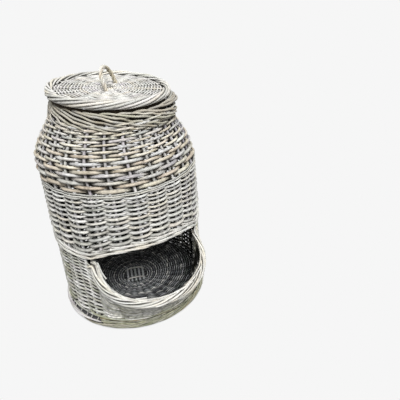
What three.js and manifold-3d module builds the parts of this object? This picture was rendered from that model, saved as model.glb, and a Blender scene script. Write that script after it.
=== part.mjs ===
// A willow onion basket: a round woven jar with a narrow neck, a loose lid with a loop handle,
// and an opening low in the front wall, with a scoop that reaches out under it.
// Millimetres, +Z up. The scoop faces -Y and the origin lies on the floor, in the middle of the footprint.
// Azimuths are counted about the jar's axis, from -Y towards +X.

import * as THREE from 'three';
import { mergeVertices } from 'three/addons/utils/BufferGeometryUtils.js';
import Module from 'manifold-3d';

const wasm = await Module();
wasm.setup();

// Clearances
const FIT_GAP = 0.3;
const OVERRUN = 4;
const RIM_END_CLEARANCE = 2;
const MERGE_DISTANCE = 0.0001;

// Jar wall
const BODY_RADIUS = 170;
const WALL_THICKNESS = 12;
const WALE_PROUD = 1.5;
const LOWER_HEIGHT = 164;
const MIDDLE_HEIGHT = 136;
const SHOULDER_STRAIGHT = 28;
const SHOULDER_RISE = 92;
const SHOULDER_DROP = 36;

// Foot border, under a ring of gaps
const FOOT_PROUD = 7;
const FOOT_WIDTH = 18;
const FOOT_HEIGHT = 12;
const FOOT_CHAMFER = 3.5;
const FOOT_GAP_HEIGHT = 10;

// Upright stakes
const STAKE_COUNT = 24;
const STAKE_RADIUS = 3;
const STAKE_SIDES = 5;
const STAKE_INSET = 1.5;

// Rows of weave, which stand out in front of every other stake, over a skin that covers the rest
const LOWER_ROWS = 32;
const MIDDLE_ROWS = 22;
const SHOULDER_ROWS = 21;
const WEAVE_SKIN = 0.9;

// Opening and scoop
const OPENING_HALF_ANGLE = 46;
const OPENING_WALE_HEIGHT = 20;
const OPENING_WALE_RISE = 24;
const SCOOP_REACH = 65;
const RIM_THICKNESS = 18.6;
const RIM_FRONT_HEIGHT = 113;
const RIM_END_DROP = 16;
const RIM_SIDES = 8;
const RIM_STEPS = 40;

// Neck border
const NECK_BORDER_INSET = 8;
const NECK_BORDER_WIDTH = 20;
const NECK_BORDER_HEIGHT = 26;
const NECK_BORDER_CHAMFER = 5;

// Base
const BASE_STICK_RADIUS = 2.6;
const BASE_STICK_PITCH = 9;
const BASE_STICK_COUNT = 4;
const BASE_SKIN = 1.8;

// Lid
const LID_BORDER_THICKNESS = 18;
const LID_BORDER_INSET = 5;
const LID_STICK_RADIUS = 2.2;
const LID_STICK_PITCH = 7;
const LID_STICK_COUNT = 3;
const LID_SKIN = 1.6;
const STICK_SIDES = 6;
const STICK_END_INSET = 2;

// Handle: two rods twisted round each other
const HANDLE_ROD_RADIUS = 2.5;
const HANDLE_ROD_GAP = 0.4;
const HANDLE_RISE = 42;
const HANDLE_TURNS = 5;
const HANDLE_AZIMUTH = 40;
const HANDLE_FOOT_GAP = 1;
const HANDLE_SIDES = 6;
const HANDLE_STEPS = 40;

// Facets round the jar, from one stake to the next, at the opening's corners, and round the plain rings
const STAKE_COLUMNS = 2;
const CORNER_ANGLE = 1;
const RING_SEGMENTS = 40;

// Shapes in shares: the scoop's plan and rim, the wall's flare and the arch over the opening
const SCOOP_PLAN_POWER_SHARE = 2.6;
const RIM_LOW_POWER_SHARE = 1.8;
const RIM_HIGH_POWER_SHARE = 8;
const RIM_LOW_SHARE = 0.7;
const FLARE_POWER_SHARE = 1.25;
const ARCH_POWER_SHARE = 3;
const WALL_LOWEST_ROW_SHARE = 1.5;
const SHOULDER_LOWEST_ROW_SHARE = 1.85;
const LOWER_RISE_SHARES = [0, 0.35, 0.7, 1];
const SHOULDER_RISE_SHARES = [0, 0.25, 0.5, 0.75, 1];
const HANDLE_ARCH_SHARES = [[1, 0], [0.99, 0.3], [0.86, 0.62], [0.52, 0.9], [0, 1]];

// Levels and radii that follow from the sizes above
const wallCentre = BODY_RADIUS - WALL_THICKNESS / 2;
const lowerStart = FOOT_HEIGHT + FOOT_GAP_HEIGHT;
const waleStart = lowerStart + LOWER_HEIGHT;
const middleTop = waleStart + OPENING_WALE_HEIGHT + MIDDLE_HEIGHT;
const shoulderStart = middleTop + SHOULDER_STRAIGHT;
const shoulderTop = shoulderStart + SHOULDER_RISE;
const neckCentre = wallCentre - SHOULDER_DROP;
const neckBorderRadius = neckCentre - NECK_BORDER_INSET;
const neckBorderBottom = shoulderTop + FIT_GAP;
const neckBorderTop = neckBorderBottom + NECK_BORDER_HEIGHT;
const stakePitch = 360 / STAKE_COUNT;
const channelRadius = STAKE_RADIUS + roundedOut(FIT_GAP, STAKE_SIDES);
const rimRadius = RIM_THICKNESS / 2;
const rimEndHeight = waleStart - RIM_END_DROP;
const lidBorderCentre = neckBorderTop + FIT_GAP + LID_BORDER_THICKNESS / 2;
const neckBorderOuter = neckBorderRadius + NECK_BORDER_WIDTH / 2;
const lidBorderRadius = neckBorderOuter - LID_BORDER_INSET - LID_BORDER_THICKNESS / 2;
const lidDiscRadius = lidBorderRadius - LID_BORDER_THICKNESS / 2 - FIT_GAP;

function radians(degrees) {
  return THREE.MathUtils.degToRad(degrees);
}

function onJar(azimuth, radius, height) {
  const angle = radians(azimuth);
  return new THREE.Vector3(radius * Math.sin(angle), -radius * Math.cos(angle), height);
}

// The radius that a polygon's corners need for its sides to clear a round of the given radius
function roundedOut(radius, sides) {
  return radius / Math.cos(Math.PI / sides);
}

// Solids: merged corners, faces turned outwards, cuts and joins

function solid(geometry) {
  const bare = new THREE.BufferGeometry();
  bare.setAttribute('position', geometry.getAttribute('position').clone());
  if (geometry.index) bare.setIndex(geometry.index.clone());
  const merged = mergeVertices(bare, MERGE_DISTANCE);
  const index = [];
  const order = merged.index.array;
  for (let i = 0; i < order.length; i += 3) {
    const [a, b, c] = [order[i], order[i + 1], order[i + 2]];
    if (a !== b && b !== c && c !== a) index.push(a, b, c);
  }
  if (signedVolume(merged.getAttribute('position'), index) < 0) index.reverse();
  merged.setIndex(index);
  return merged;
}

// Six times the volume, below zero where the faces point inwards
function signedVolume(position, index) {
  const [a, b, c] = [new THREE.Vector3(), new THREE.Vector3(), new THREE.Vector3()];
  let sum = 0;
  for (let i = 0; i < index.length; i += 3) {
    a.fromBufferAttribute(position, index[i]);
    b.fromBufferAttribute(position, index[i + 1]);
    c.fromBufferAttribute(position, index[i + 2]);
    sum += a.dot(b.cross(c));
  }
  return sum;
}

function toManifold(geometry) {
  const body = solid(geometry);
  const vertProperties = new Float32Array(body.getAttribute('position').array);
  return new wasm.Manifold(new wasm.Mesh({
    numProp: 3,
    vertProperties,
    triVerts: new Uint32Array(body.index.array),
  }));
}

function cut(geometry, cutters) {
  let result = toManifold(geometry);
  for (const cutter of cutters) result = result.subtract(toManifold(cutter));
  const mesh = result.getMesh();
  const out = new THREE.BufferGeometry();
  out.setAttribute('position', new THREE.BufferAttribute(new Float32Array(mesh.vertProperties), 3));
  out.setIndex(Array.from(mesh.triVerts));
  return solid(out);
}

// The azimuths of the wall's facets: at and between the stakes, and at the opening's corners
function wallAzimuths() {
  const count = STAKE_COUNT * STAKE_COLUMNS;
  const even = Array.from({ length: count }, (unused, i) => (360 * i) / count);
  const corners = [0, CORNER_ANGLE].map((beside) => OPENING_HALF_ANGLE + beside);
  const both = corners.flatMap((azimuth) => [azimuth, 360 - azimuth]);
  return [...even, ...both].sort((a, b) => a - b);
}

// A closed ring whose section may change with azimuth: corners as [radius, height], counter-clockwise from
// the outer bottom one. The underside's diagonals lie along those of the top, so that rings stack closely.
function ring(sectionAt, azimuths) {
  const positions = [];
  const index = [];
  const corners = sectionAt(azimuths[0]).length;
  for (const azimuth of azimuths) {
    for (const [radius, height] of sectionAt(azimuth)) positions.push(...onJar(azimuth, radius, height));
  }
  for (let i = 0; i < azimuths.length; i += 1) {
    const here = i * corners;
    const next = ((i + 1) % azimuths.length) * corners;
    for (let j = 0; j + 1 < corners; j += 1) {
      index.push(here + j, next + j, next + j + 1, here + j, next + j + 1, here + j + 1);
    }
    const last = corners - 1;
    index.push(here + last, next + last, here, next + last, next, here);
  }
  const geometry = new THREE.BufferGeometry();
  geometry.setAttribute('position', new THREE.Float32BufferAttribute(positions, 3));
  geometry.setIndex(index);
  return solid(geometry);
}

// A band of even thickness about a centre line given as [radius, height, normal radius, normal height]
function bandSection(line, thickness) {
  const half = thickness / 2;
  const outer = line.map(([r, z, nr, nz]) => [r + half * nr, z + half * nz]);
  const inner = line.map(([r, z, nr, nz]) => [r - half * nr, z - half * nz]);
  return [...outer, ...inner.reverse()];
}

// The heights of the rows' middles. The lowest row is the given number of times as high as the top one.
function rowShares(rows, lowestShare) {
  const pitches = Array.from({ length: rows }, (unused, i) => {
    return THREE.MathUtils.lerp(lowestShare, 1, i / (rows - 1));
  });
  const whole = pitches.reduce((sum, pitch) => sum + pitch);
  let below = 0;
  return pitches.map((pitch) => {
    below += pitch;
    return (below - pitch / 2) / whole;
  });
}

// The knot of a centre line at a share of its height
function knotAt(line, share) {
  const height = THREE.MathUtils.lerp(line[0][1], line[line.length - 1][1], share);
  const i = line.slice(1, -1).filter((knot) => knot[1] < height).length;
  const part = (height - line[i][1]) / (line[i + 1][1] - line[i][1]);
  return line[i].map((value, j) => THREE.MathUtils.lerp(value, line[i + 1][j], part));
}

// A wall's section: plain inside, with rows of weave outside that pass in front of every other stake
function wovenSection(line, rows, azimuth) {
  const half = WALL_THICKNESS / 2;
  const skin = channelRadius - STAKE_INSET + WEAVE_SKIN;
  const place = azimuth / stakePitch - 0.5;
  const outerPoint = (share, frontShare) => {
    const [r, z, nr, nz] = knotAt(line, share);
    const reach = THREE.MathUtils.lerp(skin, half, frontShare);
    return [r + reach * nr, z + reach * nz];
  };
  const outer = rows.map((share, i) => outerPoint(share, (1 + Math.cos(Math.PI * (place + i))) / 2));
  const inner = line.map(([r, z, nr, nz]) => [r - half * nr, z - half * nz]);
  return [outerPoint(0, 0.5), ...outer, outerPoint(1, 0.5), ...inner.reverse()];
}

// A plain ring with chamfered corners, resting at the given height
function borderRing(centre, bottom, width, height, chamfer) {
  const [w, top, c] = [width / 2, bottom + height, chamfer];
  const outline = [
    [centre - w + c, bottom], [centre + w - c, bottom],
    [centre + w, bottom + c], [centre + w, top - c],
    [centre + w - c, top], [centre - w + c, top],
    [centre - w, top - c], [centre - w, bottom + c],
  ];
  return revolved(outline);
}

// A closed outline of [radius, height] turned about the jar's axis
function revolved(outline) {
  const points = [...outline, outline[0]].map(([radius, height]) => new THREE.Vector2(radius, height));
  return solid(new THREE.LatheGeometry(points, RING_SEGMENTS).rotateX(Math.PI / 2));
}

function polygon(radius, sides) {
  const shape = new THREE.Shape();
  for (let i = 0; i < sides; i += 1) {
    const angle = (2 * Math.PI * (i + 0.5)) / sides;
    const [x, y] = [radius * Math.cos(angle), radius * Math.sin(angle)];
    if (i === 0) shape.moveTo(x, y);
    else shape.lineTo(x, y);
  }
  shape.closePath();
  return shape;
}

function rodAlong(curve, radius, sides, steps) {
  const options = { steps, extrudePath: curve, bevelEnabled: false, curveSegments: 1 };
  return solid(new THREE.ExtrudeGeometry(polygon(radius, sides), options));
}

// A path of straight runs with one rod section at each of its points
class KnotPath extends THREE.Curve {
  constructor(points) {
    super();
    this.points = points;
  }

  getPoint(t) {
    const place = Math.min(Math.max(t, 0), 1) * (this.points.length - 1);
    const i = Math.min(Math.floor(place), this.points.length - 2);
    return new THREE.Vector3().lerpVectors(this.points[i], this.points[i + 1], place - i);
  }

  getPointAt(t) {
    return this.getPoint(t);
  }

  getTangentAt(t) {
    const last = this.points.length - 1;
    const i = Math.round(t * last);
    const before = this.points[Math.max(i - 1, 0)];
    const after = this.points[Math.min(i + 1, last)];
    return new THREE.Vector3().subVectors(after, before).normalize();
  }
}

function beyond(from, to, extra) {
  const run = new THREE.Vector3().subVectors(to, from).normalize();
  return to.clone().addScaledVector(run, extra);
}

// A rod with a section at each point, which may run on straight past both ends
function rodThrough(points, radius, sides, extra) {
  const knots = [...points];
  if (extra > 0) {
    knots.unshift(beyond(points[1], points[0], extra));
    knots.push(beyond(points[points.length - 2], points[points.length - 1], extra));
  }
  return rodAlong(new KnotPath(knots), radius, sides, knots.length - 1);
}

// The opening and the scoop, by the share of the opening's half width

function openingShare(azimuth) {
  const turned = THREE.MathUtils.euclideanModulo(azimuth + 180, 360) - 180;
  return turned / OPENING_HALF_ANGLE;
}

function scoopReach(share) {
  return SCOOP_REACH * Math.max(1 - Math.abs(share) ** SCOOP_PLAN_POWER_SHARE, 0);
}

function rimHeight(share) {
  const s = Math.abs(share);
  const low = RIM_LOW_SHARE * s ** RIM_LOW_POWER_SHARE;
  const high = (1 - RIM_LOW_SHARE) * s ** RIM_HIGH_POWER_SHARE;
  return RIM_FRONT_HEIGHT + (rimEndHeight - RIM_FRONT_HEIGHT) * (low + high);
}

function waleBottom(azimuth) {
  const s = Math.min(Math.abs(openingShare(azimuth)), 1);
  return waleStart + OPENING_WALE_RISE * (1 - s ** ARCH_POWER_SHARE);
}

function waleTop(azimuth) {
  return waleBottom(azimuth) + OPENING_WALE_HEIGHT;
}

function rimPoints() {
  return Array.from({ length: RIM_STEPS + 1 }, (unused, i) => {
    const share = (2 * i) / RIM_STEPS - 1;
    return onJar(share * OPENING_HALF_ANGLE, wallCentre + scoopReach(share), rimHeight(share));
  });
}

function rimSolid(radius, extra) {
  return rodThrough(rimPoints(), radius, RIM_SIDES, extra);
}

const rimSpace = rimSolid(rimRadius + roundedOut(FIT_GAP, RIM_SIDES), RIM_END_CLEARANCE);

// Centre lines of the wall's bands, with their normals

function withNormals(points) {
  return points.map(([r, z], i) => {
    const before = points[Math.max(i - 1, 0)];
    const after = points[Math.min(i + 1, points.length - 1)];
    const run = new THREE.Vector2(after[0] - before[0], after[1] - before[1]).normalize();
    return [r, z, run.y, -run.x];
  });
}

function lowerTop(azimuth) {
  const share = openingShare(azimuth);
  return Math.abs(share) <= 1 ? rimHeight(share) : waleStart - FIT_GAP;
}

function lowerPoints(azimuth) {
  const reach = scoopReach(openingShare(azimuth));
  const top = lowerTop(azimuth);
  return LOWER_RISE_SHARES.map((share) => [
    wallCentre + reach * share ** FLARE_POWER_SHARE,
    lowerStart + (top - lowerStart) * share,
  ]);
}

// The scoop's wall slants across the radius at its sides, where the normals are longer to keep it as thick
function lowerLine(azimuth) {
  const step = stakePitch / (2 * STAKE_COLUMNS);
  const change = scoopReach(openingShare(azimuth + step)) - scoopReach(openingShare(azimuth - step));
  return withNormals(lowerPoints(azimuth)).map(([r, z, nr, nz], i) => {
    const slant = (change * LOWER_RISE_SHARES[i] ** FLARE_POWER_SHARE) / (r * radians(2 * step));
    const longer = Math.hypot(1, slant);
    return [r, z, nr * longer, nz * longer];
  });
}

// The shoulder curves in like half a wave and ends upright under the neck border
function shoulderLine() {
  return SHOULDER_RISE_SHARES.map((share) => {
    const lean = (SHOULDER_DROP * Math.PI * Math.sin(Math.PI * share)) / 2;
    const normal = new THREE.Vector2(SHOULDER_RISE, lean).normalize();
    const radius = wallCentre - (SHOULDER_DROP * (1 - Math.cos(Math.PI * share))) / 2;
    return [radius, shoulderStart + SHOULDER_RISE * share, normal.x, normal.y];
  });
}

function straightLine(bottom, top) {
  return [[wallCentre, bottom, 1, 0], [wallCentre, top, 1, 0]];
}

// Stakes

function stakeAzimuth(number) {
  return (number + 0.5) * stakePitch;
}

// True where the scoop's rim stands in a stake's way, so that it is two rods, one below and one above
function opensAt(azimuth) {
  const clear = rimRadius + STAKE_RADIUS + FIT_GAP;
  const margin = THREE.MathUtils.radToDeg(clear / wallCentre) / OPENING_HALF_ANGLE;
  return Math.abs(openingShare(azimuth)) < 1 + margin;
}

// A rod inside the wall, a little nearer to the jar's axis than the wall's centre line
function stakeRun(azimuth, line, radius, extra) {
  const points = line.map(([r, z]) => onJar(azimuth, r - STAKE_INSET, z));
  return rodThrough(points, radius, STAKE_SIDES, extra);
}

function upperRun(azimuth, start, radius, extra) {
  return stakeRun(azimuth, [[wallCentre, start], ...shoulderLine()], radius, extra);
}

function lowerRun(azimuth, radius, extra) {
  return stakeRun(azimuth, [[wallCentre, FOOT_HEIGHT + FIT_GAP], ...lowerPoints(azimuth)], radius, extra);
}

const azimuthList = Array.from({ length: STAKE_COUNT }, (unused, number) => stakeAzimuth(number));
const fullAzimuths = azimuthList.filter((azimuth) => !opensAt(azimuth));
const splitAzimuths = azimuthList.filter((azimuth) => opensAt(azimuth));

const lowChannels = splitAzimuths.map((azimuth) => lowerRun(azimuth, channelRadius, OVERRUN));
const highChannels = splitAzimuths.map((azimuth) => (
  upperRun(azimuth, waleBottom(azimuth), channelRadius, OVERRUN)
));
const fullChannels = fullAzimuths.map((azimuth) => upperRun(azimuth, FOOT_HEIGHT, channelRadius, OVERRUN));

// Woven discs of the base and the lid, with two layers of parallel sticks crossing in the middle

function stickOffsets(count, pitch) {
  return Array.from({ length: count }, (unused, i) => (i - (count - 1) / 2) * pitch);
}

// Two layers of sticks with a skin of weave under and over them
function discThickness(stickRadius, skin) {
  return 2 * skin + 4 * stickRadius + FIT_GAP;
}

function discLayout({ bottom, outer, stickRadius, pitch, count, skin }) {
  const offsets = stickOffsets(count, pitch);
  const half = ((count - 1) / 2) * pitch + stickRadius + FIT_GAP;
  return {
    bottom,
    outer,
    stickRadius,
    offsets,
    top: bottom + discThickness(stickRadius, skin),
    lowLayer: bottom + skin + stickRadius,
    highLayer: bottom + skin + 3 * stickRadius + FIT_GAP,
    half,
    hole: roundedOut(half * Math.SQRT2, RING_SEGMENTS),
  };
}

function stick(length, radius, offset, level, along) {
  const rod = new THREE.CylinderGeometry(radius, radius, length, STICK_SIDES);
  rod.rotateY(Math.PI / STICK_SIDES);
  if (!along) rod.rotateZ(Math.PI / 2);
  if (along) rod.translate(offset, 0, level);
  else rod.translate(0, offset, level);
  return solid(rod);
}

function discStick(layout, offset, along) {
  const reach = Math.sqrt(layout.outer ** 2 - (Math.abs(offset) + layout.stickRadius) ** 2) - STICK_END_INSET;
  return stick(2 * reach, layout.stickRadius, offset, along ? layout.highLayer : layout.lowLayer, along);
}

function stickChannels(layout) {
  const radius = roundedOut(layout.stickRadius + FIT_GAP, STICK_SIDES);
  const length = 2 * (layout.outer + OVERRUN);
  return layout.offsets.flatMap((offset) => [
    stick(length, radius, offset, layout.lowLayer, false),
    stick(length, radius, offset, layout.highLayer, true),
  ]);
}

function discSection(layout) {
  return [
    [layout.hole, layout.bottom], [layout.outer, layout.bottom],
    [layout.outer, layout.top], [layout.hole, layout.top],
  ];
}

const baseLayout = discLayout({
  bottom: lowerStart,
  outer: BODY_RADIUS - WALL_THICKNESS - FIT_GAP,
  stickRadius: BASE_STICK_RADIUS,
  pitch: BASE_STICK_PITCH,
  count: BASE_STICK_COUNT,
  skin: BASE_SKIN,
});

const lidThickness = discThickness(LID_STICK_RADIUS, LID_SKIN);
const lidLayout = discLayout({
  bottom: lidBorderCentre - lidThickness / 2,
  outer: lidDiscRadius,
  stickRadius: LID_STICK_RADIUS,
  pitch: LID_STICK_PITCH,
  count: LID_STICK_COUNT,
  skin: LID_SKIN,
});

// Handle: its feet pass through the lid's weave just outside the crossing sticks

const twistRadius = HANDLE_ROD_RADIUS + HANDLE_ROD_GAP / 2;
const handleHoleRadius = roundedOut(twistRadius + HANDLE_ROD_RADIUS + FIT_GAP, HANDLE_SIDES);
const footOffset = lidLayout.half + HANDLE_FOOT_GAP + handleHoleRadius;
const footReach = footOffset / Math.sin(radians(HANDLE_AZIMUTH));

function handleCentre() {
  const arch = HANDLE_ARCH_SHARES.map(([across, up]) => [
    footReach * across,
    lidLayout.top + (HANDLE_RISE - HANDLE_ROD_RADIUS - twistRadius) * up,
  ]);
  const half = [[footReach, lidLayout.bottom], ...arch];
  const mirrored = half.slice(0, -1).reverse().map(([across, height]) => [-across, height]);
  const points = [...half, ...mirrored].map(([across, height]) => onJar(-HANDLE_AZIMUTH, across, height));
  return new THREE.CatmullRomCurve3(points, false, 'centripetal');
}

class TwistedRod extends THREE.Curve {
  constructor(centre, phase) {
    super();
    this.centre = centre;
    this.phase = phase;
    this.across = onJar(90 - HANDLE_AZIMUTH, 1, 0);
  }

  getPoint(t) {
    const middle = this.centre.getPointAt(t);
    const along = this.centre.getTangentAt(t);
    const outward = new THREE.Vector3().crossVectors(along, this.across).normalize();
    const angle = 2 * Math.PI * HANDLE_TURNS * t + this.phase;
    return middle
      .addScaledVector(this.across, twistRadius * Math.cos(angle))
      .addScaledVector(outward, twistRadius * Math.sin(angle));
  }
}

function handleRod(phase) {
  const rod = rodAlong(new TwistedRod(handleCentre(), phase), HANDLE_ROD_RADIUS, HANDLE_SIDES, HANDLE_STEPS);
  return cut(rod, [belowLid()]);
}

// The space under the lid's weave, where the handle's rods are trimmed flush
function belowLid() {
  const side = 4 * (footReach + OVERRUN);
  const block = new THREE.BoxGeometry(side, side, OVERRUN);
  return block.translate(0, 0, lidLayout.bottom - OVERRUN / 2);
}

function handleHoles() {
  const height = lidThickness + 2 * OVERRUN;
  return [-footReach, footReach].map((reach) => {
    const hole = new THREE.CylinderGeometry(handleHoleRadius, handleHoleRadius, height, HANDLE_SIDES);
    const place = onJar(-HANDLE_AZIMUTH, reach, lidBorderCentre);
    return hole.rotateX(Math.PI / 2).translate(place.x, place.y, place.z);
  });
}

// Materials

function willow(color, roughness) {
  return new THREE.MeshStandardMaterial({ color, roughness, metalness: 0 });
}

const shoulderWillow = willow(0xb4a690, 0.62);
const greyWillow = willow(0xc6c5bb, 0.66);
const denseWillow = willow(0xa7a994, 0.7);
const paleWillow = willow(0xdcd9cf, 0.6);
const stakeWillow = willow(0xc9c3cb, 0.6);
const baseWillow = willow(0x8d8c86, 0.72);

// The basket

const basket = new THREE.Group();
const lid = new THREE.Group();
basket.add(lid);

function add(parent, name, geometry, material) {
  const mesh = new THREE.Mesh(geometry, material);
  mesh.name = name;
  parent.add(mesh);
}

const azimuths = wallAzimuths();
const proudThickness = WALL_THICKNESS + 2 * WALE_PROUD;
const lowerRows = rowShares(LOWER_ROWS, WALL_LOWEST_ROW_SHARE);
const middleRows = rowShares(MIDDLE_ROWS, WALL_LOWEST_ROW_SHARE);
const shoulderRows = rowShares(SHOULDER_ROWS, SHOULDER_LOWEST_ROW_SHARE);

function addFoot() {
  const centre = BODY_RADIUS + FOOT_PROUD - FOOT_WIDTH / 2;
  add(basket, 'foot_border', borderRing(centre, 0, FOOT_WIDTH, FOOT_HEIGHT, FOOT_CHAMFER), paleWillow);
}

function addBase() {
  const weave = cut(ring(() => discSection(baseLayout), azimuths), stickChannels(baseLayout));
  add(basket, 'base_weave', weave, baseWillow);
  baseLayout.offsets.forEach((offset, i) => {
    add(basket, `base_cross_stick_${i + 1}`, discStick(baseLayout, offset, false), baseWillow);
    add(basket, `base_long_stick_${i + 1}`, discStick(baseLayout, offset, true), baseWillow);
  });
}

function addLowerWall() {
  const wall = ring((azimuth) => wovenSection(lowerLine(azimuth), lowerRows, azimuth), azimuths);
  add(basket, 'lower_weave', cut(wall, [rimSpace, ...lowChannels, ...fullChannels]), denseWillow);
  add(basket, 'scoop_rim', rimSolid(rimRadius, 0), paleWillow);
}

function addUpperWall() {
  const uprights = [...highChannels, ...fullChannels];
  const wale = ring(
    (azimuth) => bandSection(straightLine(waleBottom(azimuth), waleTop(azimuth)), proudThickness),
    azimuths,
  );
  const middle = ring(
    (azimuth) => wovenSection(straightLine(waleTop(azimuth) + FIT_GAP, middleTop), middleRows, azimuth),
    azimuths,
  );
  const rising = [[wallCentre, middleTop + FIT_GAP, 1, 0], ...shoulderLine()];
  const shoulder = ring((azimuth) => wovenSection(rising, shoulderRows, azimuth), azimuths);
  add(basket, 'opening_wale', cut(wale, uprights), paleWillow);
  add(basket, 'middle_weave', cut(middle, uprights), greyWillow);
  add(basket, 'shoulder_weave', cut(shoulder, uprights), shoulderWillow);
}

function addStakes() {
  fullAzimuths.forEach((azimuth, i) => {
    const rod = upperRun(azimuth, FOOT_HEIGHT + FIT_GAP, STAKE_RADIUS, 0);
    add(basket, `stake_${i + 1}`, rod, stakeWillow);
  });
  splitAzimuths.forEach((azimuth, i) => {
    const upper = upperRun(azimuth, waleBottom(azimuth), STAKE_RADIUS, 0);
    const lower = cut(lowerRun(azimuth, STAKE_RADIUS, 0), [rimSpace]);
    add(basket, `upper_stake_${i + 1}`, upper, stakeWillow);
    add(basket, `scoop_stake_${i + 1}`, lower, stakeWillow);
  });
}

function addNeck() {
  const section = [NECK_BORDER_WIDTH, NECK_BORDER_HEIGHT, NECK_BORDER_CHAMFER];
  add(basket, 'neck_border', borderRing(neckBorderRadius, neckBorderBottom, ...section), shoulderWillow);
}

function addLid() {
  const thick = LID_BORDER_THICKNESS;
  const bottom = lidBorderCentre - thick / 2;
  const border = borderRing(lidBorderRadius, bottom, thick, thick, thick * (1 - Math.SQRT1_2));
  const weave = cut(revolved(discSection(lidLayout)), [...stickChannels(lidLayout), ...handleHoles()]);
  add(lid, 'lid_border', border, paleWillow);
  add(lid, 'lid_weave', weave, paleWillow);
  lidLayout.offsets.forEach((offset, i) => {
    add(lid, `lid_cross_stick_${i + 1}`, discStick(lidLayout, offset, false), paleWillow);
    add(lid, `lid_long_stick_${i + 1}`, discStick(lidLayout, offset, true), paleWillow);
  });
  add(lid, 'handle_rod_1', handleRod(0), paleWillow);
  add(lid, 'handle_rod_2', handleRod(Math.PI), paleWillow);
}

addFoot();
addBase();
addLowerWall();
addUpperWall();
addStakes();
addNeck();
addLid();

// The origin goes to the middle of the footprint
const footprint = new THREE.Box3().setFromObject(basket);
basket.position.y = -(footprint.min.y + footprint.max.y) / 2;

export default basket;
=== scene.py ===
"""Looks of the willow basket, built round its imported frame. Metres and degrees, +Z up.

Azimuths are counted about the jar's axis, from -Y (the scoop) towards +X.
Each rod of the weave is a tube of its own, and the rods of one zone share a mesh.
Values that only one part of the basket needs stand above its function.
"""

import math

import bpy
import numpy as np
from mathutils import Matrix, Vector


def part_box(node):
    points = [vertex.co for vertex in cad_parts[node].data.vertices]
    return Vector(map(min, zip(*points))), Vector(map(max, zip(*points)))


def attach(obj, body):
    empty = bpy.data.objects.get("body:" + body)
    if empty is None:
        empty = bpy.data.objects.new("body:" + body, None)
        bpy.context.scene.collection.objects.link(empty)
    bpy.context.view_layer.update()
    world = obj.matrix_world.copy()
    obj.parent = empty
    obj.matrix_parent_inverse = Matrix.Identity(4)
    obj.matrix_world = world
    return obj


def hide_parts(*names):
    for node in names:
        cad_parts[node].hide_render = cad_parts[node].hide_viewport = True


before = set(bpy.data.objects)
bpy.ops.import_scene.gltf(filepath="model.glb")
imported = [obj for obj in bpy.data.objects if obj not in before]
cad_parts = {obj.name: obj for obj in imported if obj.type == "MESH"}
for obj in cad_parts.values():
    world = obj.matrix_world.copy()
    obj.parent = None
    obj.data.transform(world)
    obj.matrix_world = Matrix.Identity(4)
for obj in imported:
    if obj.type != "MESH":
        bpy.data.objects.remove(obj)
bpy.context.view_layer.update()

SEED = 41
MM = 0.001
UP = np.array([0.0, 0.0, 1.0])

# Sizes that the frame gives
foot_low, foot_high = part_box("foot_border")
wale_low, wale_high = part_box("opening_wale")
_, middle_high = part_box("middle_weave")
_, shoulder_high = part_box("shoulder_weave")
neck_low, neck_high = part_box("neck_border")
rim_low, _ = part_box("scoop_rim")
base_low, base_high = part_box("base_weave")
border_low, border_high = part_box("lid_border")
lid_low, lid_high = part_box("lid_weave")

AXIS_Y = (foot_low.y + foot_high.y) / 2
BODY_RADIUS = middle_high.x
FOOT_RADIUS = foot_high.x
LOWER_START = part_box("lower_weave")[0].z
WALE_START = wale_low.z
MIDDLE_TOP = middle_high.z
SHOULDER_TOP = shoulder_high.z
NECK_RADIUS = neck_high.x
LID_RADIUS = border_high.x
LID_DISC_RADIUS = lid_high.x
LID_CENTRE = np.array([0, AXIS_Y, border_low.z])
BASE_RADIUS = base_high.x

# Wall and stakes: the weave bends round STAKE_RADIUS, and the stakes that are seen are a little thicker
WALL_THICKNESS = 12 * MM
WALL_CENTRE = BODY_RADIUS - WALL_THICKNESS / 2
STAKE_COUNT = 24
STAKE_PITCH = 360 / STAKE_COUNT
STAKE_RADIUS = 2.3 * MM
SEEN_STAKE_RADIUS = 2.9 * MM
STEPS_PER_STAKE = 12

# Rows of plain weave: their number, the lowest row's height against the top one's, and a rod's radius in rows
SHOULDER_ROWS = (20, 2.05, 0.47)
MIDDLE_ROWS = (21, 1.7, 0.46)
LOWER_ROWS = (32, 1.7, 0.43)
MIDDLE_ROWS_TOP = 0.94

# Shoulder, and how far the rods of it and of the middle wall stand inside the wall's centre
SHOULDER_STRAIGHT = 28 * MM
SHOULDER_DROP = 36 * MM
SHOULDER_START = MIDDLE_TOP + SHOULDER_STRAIGHT
SHOULDER_INSET = 2 * MM
SHOULDER_TOP_INSET = 2 * MM
MIDDLE_INSET = 1.5 * MM

# The hand-woven jar isn't quite round: how far it stands aside and how much narrower it is, by height
SWAY_AZIMUTH = -105
SWAY_HEIGHTS = np.array([342, 350, 385, 415, 440, 456, 470, 484]) * MM
SWAY_SIZES = np.array([0, 2, 6, 7.5, 5, -2, -6, -6]) * MM
TRIM_HEIGHTS = np.array([342, 375, 440, 462]) * MM
TRIM_SIZES = np.array([0, 3, 2, -2]) * MM

# The lid sits askew on the neck, high at one side and a little low at the front
LID_TILT_AZIMUTH = -15
LID_ROLL = -4.2
LID_PITCH = 1.2

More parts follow.
